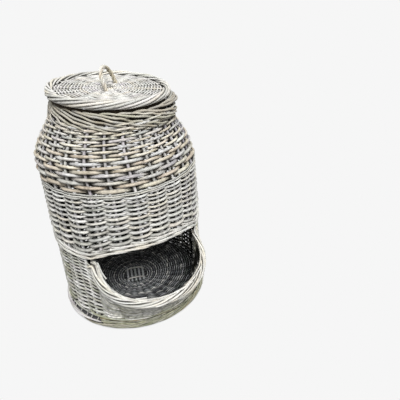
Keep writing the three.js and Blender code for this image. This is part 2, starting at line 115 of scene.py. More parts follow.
# Opening and scoop, with the shares and powers of their curves
OPENING_HALF = 46
WALE_HEIGHT = 20 * MM
WALE_RISE = wale_high.z - wale_low.z - WALE_HEIGHT
RIM_RADIUS = 9.3 * MM
RIM_END_DROP = 16 * MM
RIM_FRONT_HEIGHT = rim_low.z + RIM_RADIUS
RIM_END_HEIGHT = WALE_START - RIM_END_DROP
SCOOP_REACH = AXIS_Y - rim_low.y - RIM_RADIUS - WALL_CENTRE
SCOOP_PLAN_POWER = 2.6
RIM_LOW_POWER = 1.8
RIM_HIGH_POWER = 8
RIM_LOW_SHARE = 0.7
FLARE_POWER = 1.25
ARCH_POWER = 3
RIM_SEAT = 0.6
WALE_SEAT = 1.5 * MM
SIDE_START, SIDE_BLEND = 0.98, 0.2

# Willow colours as they are seen, from 0 to 255
STRAW = (221, 214, 197)
TAN = (209, 198, 181)
BROWN = (197, 179, 156)
KHAKI = (208, 204, 184)
WHITE = (240, 239, 234)
GREY = (206, 205, 199)
BLUE_GREY = (197, 199, 201)
LILAC = (209, 205, 208)
PALE = (231, 230, 225)
CREAM = (232, 227, 213)
GREEN_GREY = (186, 187, 170)
MOSS = (172, 170, 140)
DARK_GREY = (146, 148, 149)
SLATE = (92, 94, 96)
SLATH_GREY = (156, 158, 160)
SKIRT_GREEN = (150, 150, 130)
SKIRT_GREY = (166, 164, 150)
SKIRT_BROWN = (150, 140, 112)

# How much the colours vary: in lightness, in hue and along a rod, and the limits of a colour's light
COLOUR_SPREAD = 0.07
HUE_SPREAD = 0.006
COLOUR_DRIFT = 0.9
COLOUR_CHANGE = 0.7
DARKEST, BRIGHTEST = 0.01, 0.95

rng = np.random.default_rng(SEED)


def sway(height):
    """How far the jar's middle stands aside at a height, as vectors."""
    size = np.interp(height, SWAY_HEIGHTS, SWAY_SIZES)
    return size[..., None] * outward(SWAY_AZIMUTH)


def unit(vectors):
    return vectors / np.linalg.norm(vectors, axis=-1, keepdims=True)


def on_jar(azimuth, radius, height):
    """Points about the jar's axis, one a row."""
    azimuth, radius, height = np.broadcast_arrays(azimuth, radius, height)
    angle = np.radians(azimuth)
    return np.stack([radius * np.sin(angle), AXIS_Y - radius * np.cos(angle), height], axis=-1)


def outward(azimuth):
    angle = np.radians(azimuth)
    return np.stack([np.sin(angle), -np.cos(angle), np.zeros_like(angle)], axis=-1)


def smooth_step(value):
    value = np.clip(value, 0, 1)
    return value * value * (3 - 2 * value)


def blend(first, second, share):
    return first + (second - first) * share


def fade(value, end, width):
    """1 up to a width before the end, and 0 from the end on."""
    return smooth_step((end - value) / width)


def softened(values, width):
    """A running mean, with the ends held."""
    padded = np.concatenate([np.full(width, values[0]), values, np.full(width, values[-1])])
    kernel = np.ones(2 * width + 1) / (2 * width + 1)
    return np.convolve(padded, kernel, mode="valid")


def wander(count, size, waves=3):
    """A slow random drift along a rod."""
    place = np.linspace(0, 1, count)
    drift = np.zeros(count)
    for _ in range(waves):
        drift += np.sin(2 * np.pi * (place * rng.uniform(1, 7) + rng.uniform())) / waves
    return size * drift


def varied(size, count=None):
    """Factors round 1, drawn by chance."""
    return 1 + rng.normal(0, size, count)


def linear(colour):
    """A seen colour as the light that it stands for."""
    share = np.asarray(colour, float) / 255
    return np.where(share <= 0.04045, share / 12.92, ((share + 0.055) / 1.055) ** 2.4)


def pick(palette):
    """A colour: an entry of a palette of (colour, weight), a little lighter or darker."""
    weights = np.array([weight for _, weight in palette], float)
    colour = linear(palette[rng.choice(len(palette), p=weights / weights.sum())][0])
    return np.clip(colour * varied(COLOUR_SPREAD) + rng.normal(0, HUE_SPREAD, 3), DARKEST, BRIGHTEST)


def along(palette, count):
    """One rod's colours: an entry of the palette that drifts towards another along the rod."""
    first, second = pick(palette), pick(palette)
    share = smooth_step(0.5 + wander(count, COLOUR_DRIFT)) * COLOUR_CHANGE
    return blend(first, second, share[:, None])


def askew(points):
    """Points that tilt with the lid: to one side about the line ahead, and then towards that line."""
    ahead, aside = outward(LID_TILT_AZIMUTH), outward(LID_TILT_AZIMUTH + 90)
    roll = Matrix.Rotation(math.radians(LID_ROLL), 3, Vector(ahead))
    pitch = Matrix.Rotation(math.radians(LID_PITCH), 3, Vector(aside))
    return LID_CENTRE + (points - LID_CENTRE) @ np.array(pitch @ roll).T


def add_object(name, data):
    obj = bpy.data.objects.new(name, data)
    bpy.context.scene.collection.objects.link(obj)
    return obj


# A rod's ends: how far they bulge, in radii, and how light they are
END_BULGE = 0.3
END_TONE = 0.6


class Rods:
    """Willow rods gathered into one mesh."""

    def __init__(self):
        self.points = []
        self.tints = []
        self.grains = []
        self.quads = []
        self.count = 0

    def add(self, path, radius, facing, tint, sides=8, hidden=1.0):
        """A rod along a path, where facing is a direction across it.

        hidden is how light the side away from facing is painted, a painted shade on the rod's back, as one
        value or one for each step.
        """
        path = np.asarray(path, float)
        steps = len(path)
        run = unit(np.gradient(path, axis=0))
        facing = np.broadcast_to(facing, path.shape)
        across = unit(facing - (facing * run).sum(1)[:, None] * run)
        side = np.cross(run, across)
        angle = 2 * np.pi * np.arange(sides) / sides
        ring = np.cos(angle)[:, None] * across[:, None] + np.sin(angle)[:, None] * side[:, None]
        radius = np.broadcast_to(radius, (steps,))
        points = path[:, None] + radius[:, None, None] * ring
        start = path[0] - run[0] * radius[0] * END_BULGE
        stop = path[-1] + run[-1] * radius[-1] * END_BULGE
        travel = np.concatenate([[0], np.cumsum(np.linalg.norm(np.diff(path, axis=0), axis=1))])
        offset = rng.uniform(0, 10)
        grain = np.empty((steps, sides, 3))
        grain[..., 0] = (travel + offset)[:, None]
        grain[..., 1] = radius[:, None] * np.cos(angle) + offset
        grain[..., 2] = radius[:, None] * np.sin(angle)
        ends = [[offset, offset, 0], [travel[-1] + offset, offset, 0]]

        first = self.count
        i = first + sides * np.arange(steps - 1)[:, None]
        j = np.arange(sides)[None, :]
        k = (j + 1) % sides
        self.quads.append(np.stack([i + j, i + k, i + sides + k, i + sides + j], -1).reshape(-1, 4))
        hub = np.full(sides // 2, first + steps * sides)
        last = first + (steps - 1) * sides
        even = np.arange(0, sides, 2)
        middle, after = even + 1, (even + 2) % sides
        self.quads.append(np.stack([hub, first + after, first + middle, first + even], -1))
        self.quads.append(np.stack([hub + 1, last + even, last + middle, last + after], -1))
        self.points.append(np.concatenate([points.reshape(-1, 3), [start, stop]]))
        self.grains.append(np.concatenate([grain.reshape(-1, 3), ends]))

        tint = np.broadcast_to(tint, (steps, 3))
        # Painted shade: the side away from facing is darkened as far as hidden says
        away = (1 - np.cos(angle)) / 2
        dim = 1 - (1 - np.broadcast_to(hidden, (steps,)))[:, None] * away
        colour = np.ones((steps, sides, 4))
        colour[..., :3] = tint[:, None] * dim[..., None]
        end_colours = [[*tint[0] * END_TONE, 1], [*tint[-1] * END_TONE, 1]]
        self.tints.append(np.concatenate([colour.reshape(-1, 4), end_colours]))
        self.count += steps * sides + 2

    def set_askew(self):
        self.points = [askew(points) for points in self.points]

    def piece(self, name, material, body, slot, nodes):
        """The rods as one object that rides on a body and stands for CAD nodes."""
        mesh = bpy.data.meshes.new(name)
        mesh.from_pydata(np.concatenate(self.points), [], np.concatenate(self.quads).tolist())
        mesh.polygons.foreach_set("use_smooth", np.ones(len(mesh.polygons), bool))
        for label, kind, key, values in (
            ("tint", "FLOAT_COLOR", "color", self.tints),
            ("grain", "FLOAT_VECTOR", "vector", self.grains),
        ):
            mesh.attributes.new(label, kind, "POINT").data.foreach_set(key, np.concatenate(values).ravel())
        mesh.materials.append(material)
        mesh.update()
        obj = add_object(name, mesh)
        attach(obj, body)
        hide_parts(*nodes)


# The shapes of the wall, by azimuth and by a share of each zone's height


def signed(azimuth):
    """An azimuth between -180 and 180."""
    return (np.asarray(azimuth) + 180) % 360 - 180


def opening_share(azimuth):
    """0 in the middle of the opening, and 1 at its sides."""
    return np.abs(signed(azimuth)) / OPENING_HALF


def scoop_reach(azimuth):
    return SCOOP_REACH * np.clip(1 - opening_share(azimuth) ** SCOOP_PLAN_POWER, 0, 1)


def rim_height(azimuth):
    share = np.clip(opening_share(azimuth), 0, 1)
    climb = RIM_LOW_SHARE * share**RIM_LOW_POWER + (1 - RIM_LOW_SHARE) * share**RIM_HIGH_POWER
    return blend(RIM_FRONT_HEIGHT, RIM_END_HEIGHT, climb)


def wale_bottom(azimuth):
    share = np.clip(opening_share(azimuth), 0, 1)
    return WALE_START + WALE_RISE * (1 - share**ARCH_POWER)


def lower_top(azimuth):
    """The top row of the lower wall: under the rim in front, under the wale elsewhere."""
    under_rim = rim_height(azimuth) - RIM_RADIUS * RIM_SEAT
    outside = smooth_step((opening_share(azimuth) - SIDE_START) / SIDE_BLEND)
    return blend(under_rim, WALE_START - WALE_SEAT, outside)


def lower_surface(azimuth, share):
    radius = WALL_CENTRE + scoop_reach(azimuth) * np.clip(share, 0, None) ** FLARE_POWER
    return on_jar(azimuth, radius, blend(LOWER_START, lower_top(azimuth), share))


def wale_surface(azimuth, share):
    return on_jar(azimuth, WALL_CENTRE, wale_bottom(azimuth) + WALE_HEIGHT * share)


def middle_surface(azimuth, share):
    bottom = wale_bottom(azimuth) + WALE_HEIGHT
    return on_jar(azimuth, WALL_CENTRE - MIDDLE_INSET, blend(bottom, MIDDLE_TOP, share))


def shoulder_surface(azimuth, share):
    height = blend(MIDDLE_TOP, SHOULDER_TOP, share)
    rise = np.clip((height - SHOULDER_START) / (SHOULDER_TOP - SHOULDER_START), 0, 1)
    radius = WALL_CENTRE - SHOULDER_INSET - SHOULDER_TOP_INSET * rise
    radius = radius - SHOULDER_DROP * (1 - np.cos(np.pi * rise)) / 2
    radius = radius - np.interp(height, TRIM_HEIGHTS, TRIM_SIZES)
    points = on_jar(azimuth, radius, height)
    return points + sway(points[..., 2])


def with_normal(surface, azimuth, share):
    """Points of a surface and its outward normals."""
    turn, climb = 0.05, 0.002
    sideways = surface(azimuth + turn, share) - surface(azimuth - turn, share)
    upward = surface(azimuth, share + climb) - surface(azimuth, share - climb)
    return surface(azimuth, share), unit(np.cross(sideways, upward))


def stake_azimuth(number):
    return (number + 0.5) * STAKE_PITCH


# Weaving


def rows_of(height, count, lowest, thickness):
    """Each row's parity, its middle as a share of a zone's height, and its rods' radius."""
    pitches = np.geomspace(lowest, 1, count)
    pitches /= pitches.sum()
    shares = np.cumsum(pitches) - pitches / 2
    return [(number % 2, shares[number], thickness * pitches[number] * height) for number in range(count)]


# The least and most stakes that a rod of plain weave spans
SHORTEST_SPAN = 7
LONGEST_SPAN = 13


def spans(parity):
    """A round of rods, from stake to stake, that meet behind stakes."""
    first = int(rng.integers(0, STAKE_COUNT // 2)) * 2 + parity + 1
    place, stop = first, first + STAKE_COUNT
    while place < stop:
        length = int(rng.integers(SHORTEST_SPAN // 2, LONGEST_SPAN // 2 + 1)) * 2
        after = stop if stop - place - length < SHORTEST_SPAN else place + length
        yield place, after
        place = after


# A rod of plain weave: it reaches past its last stakes and tucks in there, over a length in stakes and a
# depth and lift in radii. Then how much it is pressed to the stakes, tapers, varies, swells and is mottled
ROD_REACH = 0.36
TUCK_LENGTH = 0.7
TUCK_DEPTH = 1.3
TUCK_LIFT = 0.6
ROD_SQUEEZE = 0.4 * MM
ROD_TAPER = (1.08, 0.88)
ROD_VARIETY = 0.07
ROD_SWELL = 0.05
ROD_MOTTLE = 0.1

# How squarely a rod steps round a stake, where it is painted darker as it goes behind, a painted shade, and
# its climb in front
WALL_FULLNESS = 1.2
WALL_TUCK = (-0.35, -0.78)
WEAVE_LEAN = 25


def row(rods, surface, share, parity, radius, palette, wobble, hidden, sides=8, tone=None, inside=None,
        lean=WEAVE_LEAN, fullness=WALL_FULLNESS, tucked=WALL_TUCK, depth=1):
    """One round of plain weave: in front of every other stake, behind the rest.

    tone gives how light the rods are painted at an azimuth and share, and inside the painted shade of their
    inner sides at an azimuth.
    hidden is how light they are painted behind stakes, a painted shade, and depth how far they step, against
    lying on the stakes.
    """
    amplitude = (radius + STAKE_RADIUS - ROD_SQUEEZE) * depth
    for first, last in spans(parity):
        steps = int((last - first + 2 * ROD_REACH) * STEPS_PER_STAKE) + 1
        place = np.linspace(first - ROD_REACH, last + ROD_REACH, steps)
        azimuth = stake_azimuth(place)
        level = share + wander(steps, wobble)
        centre, normal = with_normal(surface, azimuth, level)
        ahead = np.cos(np.pi * (place + parity))
        wave = np.tanh(fullness * ahead) / math.tanh(fullness)
        tuck = smooth_step(1 - np.minimum(place - place[0], place[-1] - place) / TUCK_LENGTH)
        offset = amplitude * wave - tuck * radius * TUCK_DEPTH
        lift = np.where(place < (first + last) / 2, TUCK_LIFT, -TUCK_LIFT) * radius * tuck
        taper = ROD_TAPER if rng.uniform() < 0.5 else ROD_TAPER[::-1]
        thick = radius * np.linspace(*taper, steps) * varied(ROD_VARIETY) * (1 + wander(steps, ROD_SWELL, 5))
        level_up = UP - normal[:, 2:] * normal
        climb = amplitude * wave * np.tan(np.radians(lean) - np.arcsin(normal[:, 2])) + lift
        path = centre + normal * offset[:, None] + unit(level_up) * climb[:, None]
        # Painted shade: the rod is darkened where it passes behind a stake
        dim = 1 - (1 - hidden) * smooth_step((ahead - tucked[0]) / (tucked[1] - tucked[0]))
        dim = dim * varied(ROD_MOTTLE, steps)
        if tone:
            dim = dim * tone(azimuth, level)
        tints = along(palette, steps) * dim[:, None]
        rods.add(path, thick, normal, tints, sides, inside(azimuth) if inside else hidden)


# A wale's rods: how squarely they step, how far they stand out on average, and where each crosses the others
WALE_STRANDS = 3
WALE_REACH = 0.3
WALE_FULLNESS = 2.2
WALE_BALANCE = 0.35
WALE_OUT = 0.1
WALE_CROSSING = 0.5
WALE_SOFTENING = 3
WALE_SWELL = 0.09
WALE_CUTS = 2
WALE_LEAST_PART = 30
WALE_OVERLAP = 4
# How light a wale rod's back is painted, a painted shade
WALE_BACK = 0.6


def wale(rods, surface, share, twist, radius, amplitude, palette):
    """A band of rods that each pass in front of all stakes but one, and lie on each other like a rope."""
    steps = int((STAKE_COUNT + 2 * WALE_REACH) * STEPS_PER_STAKE) + 1
    for strand in range(WALE_STRANDS):
        place = np.linspace(-WALE_REACH, STAKE_COUNT + WALE_REACH, steps)
        turn = (place - strand) % WALE_STRANDS
        wave = np.tanh(WALE_FULLNESS * (WALE_BALANCE - np.cos(2 * np.pi * turn / WALE_STRANDS))) + WALE_OUT
        crossings = [0, WALE_CROSSING, WALE_STRANDS - WALE_CROSSING, WALE_STRANDS]
        fall = softened(np.interp(turn, crossings, [0, 1, -1, 0]), WALE_SOFTENING)
        centre, normal = with_normal(surface, stake_azimuth(place), share + twist * fall)
        thick = radius * (1 + wander(steps, WALE_SWELL, 6))
        path = centre + normal * (amplitude * wave)[:, None]
        inner = np.arange(WALE_LEAST_PART, steps - WALE_LEAST_PART)
        cuts = [0, *sorted(rng.choice(inner, WALE_CUTS, replace=False)), steps - 1]
        for start, stop in zip(cuts[:-1], cuts[1:]):
            part = slice(max(start - WALE_OVERLAP, 0), stop + WALE_OVERLAP + 1)
            tints = along(palette, len(path[part]))
            rods.add(path[part], thick[part], normal[part], tints, hidden=WALE_BACK)


# The rods of a rolled border: how much they vary in place, girth and thickness, and their taper
ROLL_STEPS = 30
ROLL_SPACING = 0.06
ROLL_LOOSENESS = 0.08
ROLL_WANDER = 0.07
ROLL_VARIETY = 0.11
ROLL_TAPER_PLACES = [0, 0.12, 0.8, 1]
ROLL_TAPER = [0.85, 1, 0.95, 0.6]
# How light a rolled rod's inner side is painted, a painted shade
ROLL_BACK = 0.25


def rolled(rods, core, palette, count, span, turn, start, girth, radius, first=0.0, sweep=360.0):
    """A border of rods that each run along a core and roll over it. core gives points, outward and upward.

    Each rod spans an angle about the jar's axis and turns by an angle about the core, from its start angle.
    """
    for number in range(count):
        begin = first + sweep * (number + rng.normal(0, ROLL_SPACING)) / count
        t = np.linspace(0, 1, ROLL_STEPS)
        centre, out, up = core(begin + span * t)
        angle = np.radians(start + turn * t)
        reach = girth * varied(ROLL_LOOSENESS) * (1 + wander(ROLL_STEPS, ROLL_WANDER))
        lean = np.cos(angle)[:, None] * out + np.sin(angle)[:, None] * up
        thick = radius * varied(ROLL_VARIETY) * np.interp(t, ROLL_TAPER_PLACES, ROLL_TAPER)
        path = centre + lean * reach[:, None]
        rods.add(path, thick, lean, along(palette, ROLL_STEPS), hidden=ROLL_BACK)


# Materials: noise as its stretch along and round a rod and its detail, and ramps as (place, value) pairs
STREAKS = ((30, 700, 700), 3)
WEAR = ((26, 60, 60), 2)
FLECKS = ((120, 380, 380), 2)
STREAK_RAMP = [(0.32, 0.6), (0.62, 1.15)]
WEAR_RAMP = [(0.46, 0.0), (0.74, 0.75)]
FLECK_RAMP = [(0.28, 0.35), (0.42, 1.0)]
ROUGHNESS_RAMP = [(0.3, 0.5), (0.7, 0.78)]
FLECK_SHARE = 0.8
SHEEN = 0.35
SHEEN_FULL_TINT = 0.4
BUMP_STRENGTH = 0.35
BUMP_HEIGHT = 0.6 * MM


def add_node(tree, kind, inputs, **settings):
    """A shader node, whose inputs get values or other nodes' outputs."""
    node = tree.nodes.new(kind)
    for name, value in settings.items():
        setattr(node, name, value)
    for name, value in inputs.items():
        if isinstance(value, bpy.types.NodeSocket):
            tree.links.new(value, node.inputs[name])
        else:
            node.inputs[name].default_value = value
    return node


def ramp(tree, source, stops):
    node = add_node(tree, "ShaderNodeValToRGB", {"Fac": source})
    for element, (place, value) in zip(node.color_ramp.elements, stops):
        element.position = place
        element.color = (value, value, value, 1)
    return node.outputs["Color"]


def noise(tree, source, stretch, detail):
    """Noise in a rod's own lengths: along it, and round it."""
    fit = add_node(tree, "ShaderNodeVectorMath", {0: source, 1: stretch}, operation="MULTIPLY")
    inputs = {"Vector": fit.outputs[0], "Scale": 1, "Detail": detail}
    return add_node(tree, "ShaderNodeTexNoise", inputs).outputs["Fac"]


def multiplied(tree, amount, colour, by):
    """A colour times another, as far as amount says."""
    inputs = {"Factor": amount, "A": colour, "B": by}
    node = add_node(tree, "ShaderNodeMix", inputs, data_type="RGBA", blend_type="MULTIPLY")
    return node.outputs["Result"]


def willow(name, dirt, streak=0.5):
    """Stripped willow: streaks along the rod, weathered blotches, dark flecks and a matt skin."""
    material = bpy.data.materials.new(name)
    material.use_nodes = True
    tree = material.node_tree
    # The tint attribute holds the rods' colours together with their painted shade
    tint = add_node(tree, "ShaderNodeAttribute", {}, attribute_name="tint")
    grain = add_node(tree, "ShaderNodeAttribute", {}, attribute_name="grain").outputs["Vector"]
    streaks = noise(tree, grain, *STREAKS)

    colour = multiplied(tree, streak, tint.outputs["Color"], ramp(tree, streaks, STREAK_RAMP))
    wear = (*(linear(dirt) / linear(GREY)), 1)
    colour = multiplied(tree, ramp(tree, noise(tree, grain, *WEAR), WEAR_RAMP), colour, wear)
    colour = multiplied(tree, FLECK_SHARE, colour, ramp(tree, noise(tree, grain, *FLECKS), FLECK_RAMP))
    # The specular strength follows the tint's lightness, so painted shade dulls the shine too
    limits = {"Value": tint.outputs["Fac"], "From Max": SHEEN_FULL_TINT, "To Max": SHEEN}
    sheen = add_node(tree, "ShaderNodeMapRange", limits)
    skin = {"Strength": BUMP_STRENGTH, "Distance": BUMP_HEIGHT, "Height": streaks}
    relief = add_node(tree, "ShaderNodeBump", skin)

    shader = tree.nodes["Principled BSDF"]
    tree.links.new(colour, shader.inputs["Base Color"])
    tree.links.new(ramp(tree, streaks, ROUGHNESS_RAMP), shader.inputs["Roughness"])
    tree.links.new(sheen.outputs[0], shader.inputs["Specular IOR Level"])
    tree.links.new(relief.outputs["Normal"], shader.inputs["Normal"])
    return material


SHOULDER_WILLOW = willow("shoulder_willow", (176, 168, 152))
MIDDLE_WILLOW = willow("middle_willow", (178, 178, 170))
LOWER_WILLOW = willow("lower_willow", (166, 165, 146))
PALE_WILLOW = willow("pale_willow", (206, 201, 186), streak=0.4)
STAKE_WILLOW = willow("stake_willow", (188, 182, 186))
BASE_WILLOW = willow("base_willow", (160, 160, 156))
LID_WILLOW = willow("lid_willow", (216, 212, 205), streak=0.4)

# Palettes of (colour, weight). The shoulder's bands are added to its palette up to a share of its height
SHOULDER_PALETTE = [
    (CREAM, 4), (STRAW, 2.5), (TAN, 2), (KHAKI, 2), (GREY, 3), (BLUE_GREY, 1.2), (LILAC, 1.5), (PALE, 5),
]
SHOULDER_BANDS = [
    (0.14, [(TAN, 16), (BROWN, 8)]),
    (0.31, [(GREY, 9), (LILAC, 7)]),
    (0.42, [(TAN, 9), (STRAW, 7)]),
    (0.51, [(BLUE_GREY, 8), (LILAC, 5)]),
    (0.61, [(CREAM, 12), (TAN, 4)]),
    (0.70, [(BLUE_GREY, 8), (GREY, 5)]),
    (1.01, [(CREAM, 10), (KHAKI, 6)]),
]
STAKE_PALETTE = [(PALE, 3), (LILAC, 3), (GREY, 2)]
MIDDLE_PALETTE = [(GREY, 4), (PALE, 5), (CREAM, 1.5)]
LOWER_PALETTE = [(GREEN_GREY, 2), (GREY, 3), (MOSS, 0.7), (PALE, 5)]
RIM_PALETTE = [(PALE, 4), (CREAM, 2), (GREY, 3)]
SKIRT_PALETTE = [(SKIRT_GREEN, 3), (SKIRT_GREY, 2), (SKIRT_BROWN, 1)]
NECK_PALETTE = [(STRAW, 3), (GREY, 2.5), (CREAM, 2), (KHAKI, 2)]
NECK_CORE_PALETTE = [(BROWN, 1)]
LID_BORDER_PALETTE = [(GREY, 5), (PALE, 3), (CREAM, 1)]
LID_PALETTE = [(PALE, 6), (CREAM, 3), (LILAC, 1.5)]
LID_WEAVE_PALETTE = [(PALE, 6), (WHITE, 2), (CREAM, 2), (LILAC, 1)]
BASE_PALETTE = [(DARK_GREY, 5), (SLATE, 2)]
BASE_WEAVE_PALETTE = [(DARK_GREY, 4), (SLATE, 2), (GREY, 1)]
BASE_SLATH_PALETTE = [(SLATH_GREY, 1)]
BINDING_PALETTE = [(GREY, 1)]
HANDLE_PALETTE = [(PALE, 3), (CREAM, 2), (TAN, 2)]


# The basket's zones


def numbered(name, count):
    return [f"{name}_{number}" for number in range(1, count + 1)]


# Below the shoulder the stakes are painted lighter, a painted light where the rods over them shade them, and
# they stand further out there. CUT_STAKES of them end at the opening
STAKE_STEPS = 14
STAKE_TONE = 0.74
WALL_STAKE_PAINTED_LIGHT = 1.35
WALL_STAKE_OUT = 1.3 * MM
STAKE_BLEND = 12 * MM
STAKE_VARIETY = 0.05
# How light a stake's back is painted, a painted shade
STAKE_BACK = 0.4
WHOLE_STAKE_FROM = 1.06
CUT_STAKES = 6


def stake_rod(rods, surfaces, azimuth):
    """One upright through the given zones, as (surface, lowest share, highest share)."""
    points, normals = [], []
    for surface, low, high in surfaces:
        share = np.linspace(low, high, STAKE_STEPS)
        centre, normal = with_normal(surface, np.full_like(share, azimuth), share)
        points.append(centre)
        normals.append(normal)
    path, normal = np.concatenate(points), np.concatenate(normals)
    below = np.interp(path[:, 2], [MIDDLE_TOP - STAKE_BLEND, MIDDLE_TOP + STAKE_BLEND], [1, 0])[:, None]
    # Painted light: below the shoulder the stakes' colour is raised
    tone = blend(STAKE_TONE, WALL_STAKE_PAINTED_LIGHT, below)
    tints = np.clip(along(STAKE_PALETTE, len(path)) * tone, 0, BRIGHTEST)
    radius = SEEN_STAKE_RADIUS * varied(STAKE_VARIETY)
    rods.add(path + below * WALL_STAKE_OUT * normal, radius, normal, tints, hidden=STAKE_BACK)


def build_stakes():
    rods = Rods()
    above = [(wale_surface, -0.02, 0.9), (middle_surface, 0.02, 0.98), (shoulder_surface, 0.02, 1.0)]
    below = [(lower_surface, 0, 0.97)]
    for number in range(STAKE_COUNT):
        azimuth = stake_azimuth(number)
        whole = opening_share(azimuth) > WHOLE_STAKE_FROM
        for surfaces in [below + above] if whole else [above, below]:
            stake_rod(rods, surfaces, azimuth)
    nodes = numbered("stake", STAKE_COUNT - CUT_STAKES)
    nodes += numbered("upper_stake", CUT_STAKES) + numbered("scoop_stake", CUT_STAKES)
    rods.piece("stakes", STAKE_WILLOW, "basket", "stake_willow", nodes)


# The shoulder's rods are painted dark behind the stakes and on their inner sides, a painted shade
SHOULDER_FULLNESS = 1.1
SHOULDER_TUCK = (-0.5, -0.9)


def build_shoulder():
    rods = Rods()
    for parity, share, radius in rows_of(SHOULDER_TOP - MIDDLE_TOP, *SHOULDER_ROWS):
        palette = SHOULDER_PALETTE + next(colours for top, colours in SHOULDER_BANDS if share < top)
        row(rods, shoulder_surface, share, parity, radius, palette, wobble=0.005, hidden=0.15,
            fullness=SHOULDER_FULLNESS, tucked=SHOULDER_TUCK)
    rods.piece("shoulder_rods", SHOULDER_WILLOW, "basket", "brown_willow", ["shoulder_weave"])


# The middle wall's rods hardly climb, so that dark holes stay between them. Two thin rods close its top
MIDDLE_LEAN = 2
MIDDLE_DEPTH = 1.35
TOP_ROD_SHARES = (0.956, 0.994)
TOP_ROD_STEPS = 8
TOP_ROD_RADIUS = 1.55 * MM
TOP_ROD_OUT = 4.9 * MM
TOP_ROD_BOW = 0.8 * MM
TOP_ROD_SWELL = 0.1


def build_middle():
    rods = Rods()
    height = (MIDDLE_TOP - WALE_START - WALE_HEIGHT) * MIDDLE_ROWS_TOP
    for parity, share, radius in rows_of(height, *MIDDLE_ROWS):
        # The rods are painted nearly black behind the stakes and on their inner sides, a painted shade
        row(rods, middle_surface, share * MIDDLE_ROWS_TOP, parity, radius, MIDDLE_PALETTE, wobble=0.004,
            hidden=0.03, lean=MIDDLE_LEAN, depth=MIDDLE_DEPTH)
    for share in TOP_ROD_SHARES:
        place = np.linspace(0, STAKE_COUNT, STAKE_COUNT * TOP_ROD_STEPS + 1)
        level = share + wander(len(place), 0.004)
        centre, normal = with_normal(middle_surface, stake_azimuth(place), level)
        bow = TOP_ROD_OUT + TOP_ROD_BOW * np.cos(2 * np.pi * place)
        tints = along(MIDDLE_PALETTE, len(place))
        thick = TOP_ROD_RADIUS * (1 + wander(len(place), TOP_ROD_SWELL, 6))
        # Painted shade on the top rods' inner sides
        rods.add(centre + normal * bow[:, None], thick, normal, tints, hidden=0.1)
    rods.piece("middle_rods", MIDDLE_WILLOW, "basket", "grey_willow", ["middle_weave"])


def build_opening_wale():
    rods = Rods()
    for share in (0.24, 0.72):
        wale(rods, wale_surface, share, twist=0.16, radius=2.45 * MM, amplitude=5.6 * MM,
             palette=RIM_PALETTE)
    rods.piece("opening_wale_rods", PALE_WILLOW, "basket", "pale_willow", ["opening_wale"])


# The scoop's front is painted darker than the sides, a painted shade, and speckled: where it ends and how
# wide its edges are
FRONT_END, FRONT_BLEND = 1.1, 0.4
FRONT_RIGHT, FRONT_RIGHT_BLEND = 40, 30
FRONT_TOP, FRONT_TOP_BLEND = 1.02, 0.1
FRONT_SHADE = 0.1
FRONT_SPECKLE = 0.3
SPECKLE_LIMITS = (0.4, 1.4)

# How light the wall's inner side is painted, a painted shade: the scoop's is open to the sky and is painted
# lighter
INSIDE_TONE = 0.2
SCOOP_INSIDE_TONE = 0.95
INSIDE_BLEND = 0.2

LOWER_DEPTH = 1.08


def lower_tone(azimuth, share):
    """How light the lower wall's rods are painted: a painted shade on the scoop's front, with random speckle.
    """
    front = fade(opening_share(azimuth), FRONT_END, FRONT_BLEND)
    front = front * fade(signed(azimuth), FRONT_RIGHT, FRONT_RIGHT_BLEND)
    speckle = np.clip(1 + front * rng.normal(0, FRONT_SPECKLE, len(azimuth)), *SPECKLE_LIMITS)
    return (1 - FRONT_SHADE * front * fade(share, FRONT_TOP, FRONT_TOP_BLEND)) * speckle


def lower_inside(azimuth):
    """How light the inner sides of the lower wall's rods are painted, a painted shade."""
    return blend(INSIDE_TONE, SCOOP_INSIDE_TONE, fade(opening_share(azimuth), 1, INSIDE_BLEND))


def build_lower():
    rods = Rods()
    # A wale takes the lowest row's place
    _, *upper_rows = rows_of(WALE_START - LOWER_START, *LOWER_ROWS)
    for parity, share, radius in upper_rows:
        # The rods are painted nearly black behind the stakes, a painted shade
        row(rods, lower_surface, share, parity, radius, LOWER_PALETTE, wobble=0.003, hidden=0.03, sides=6,
            tone=lower_tone, inside=lower_inside, depth=LOWER_DEPTH)
    wale(rods, lower_surface, share=0.022, twist=0.012, radius=1.9 * MM, amplitude=4.9 * MM,
         palette=LOWER_PALETTE)
    rods.piece("lower_rods", LOWER_WILLOW, "basket", "dense_willow", ["lower_weave"])


# The scoop rim: a core painted dark as shade, strands rolled over it, two long rods on top (outward, last
# azimuth) and stray ends inside it (azimuth, length in degrees)
RIM_END = 4
RIM_CORE_RADIUS = 4.6 * MM
# Painted shade: the core's colour is darkened by RIM_INNER_TONE, and its outer side further by RIM_CORE_TONE
RIM_CORE_TONE = 0.2
RIM_INNER_TONE = 0.45
RIM_CORE_STEPS = 60
RIM_LONG_RODS = [(-2.6 * MM, -12), (1.4 * MM, 4)]
RIM_LONG_STEPS = 24
RIM_LONG_HEIGHT = 6.4 * MM
RIM_LONG_WANDER = 0.6 * MM
RIM_LONG_RADIUS = 2.1 * MM
RIM_STRAYS = [(-46, 7), (-18, 6)]
RIM_STRAY_STEPS = 8
RIM_STRAY_IN = (4 * MM, 13 * MM)
RIM_STRAY_UP = (8 * MM, 5 * MM)
RIM_STRAY_RADIUS = 1.8 * MM


def rim_core(azimuth):
    """The scoop rim's centre line, with two directions across it."""
    azimuth = np.clip(azimuth, -OPENING_HALF - RIM_END, OPENING_HALF + RIM_END)

    def place(turn):
        return on_jar(turn, WALL_CENTRE + scoop_reach(turn), rim_height(turn))

    centre = place(azimuth)
    run = unit(place(azimuth + 0.2) - place(azimuth - 0.2))
    out = outward(azimuth)
    out = unit(out - (out * run).sum(1)[:, None] * run)
    return centre, out, np.cross(out, run)


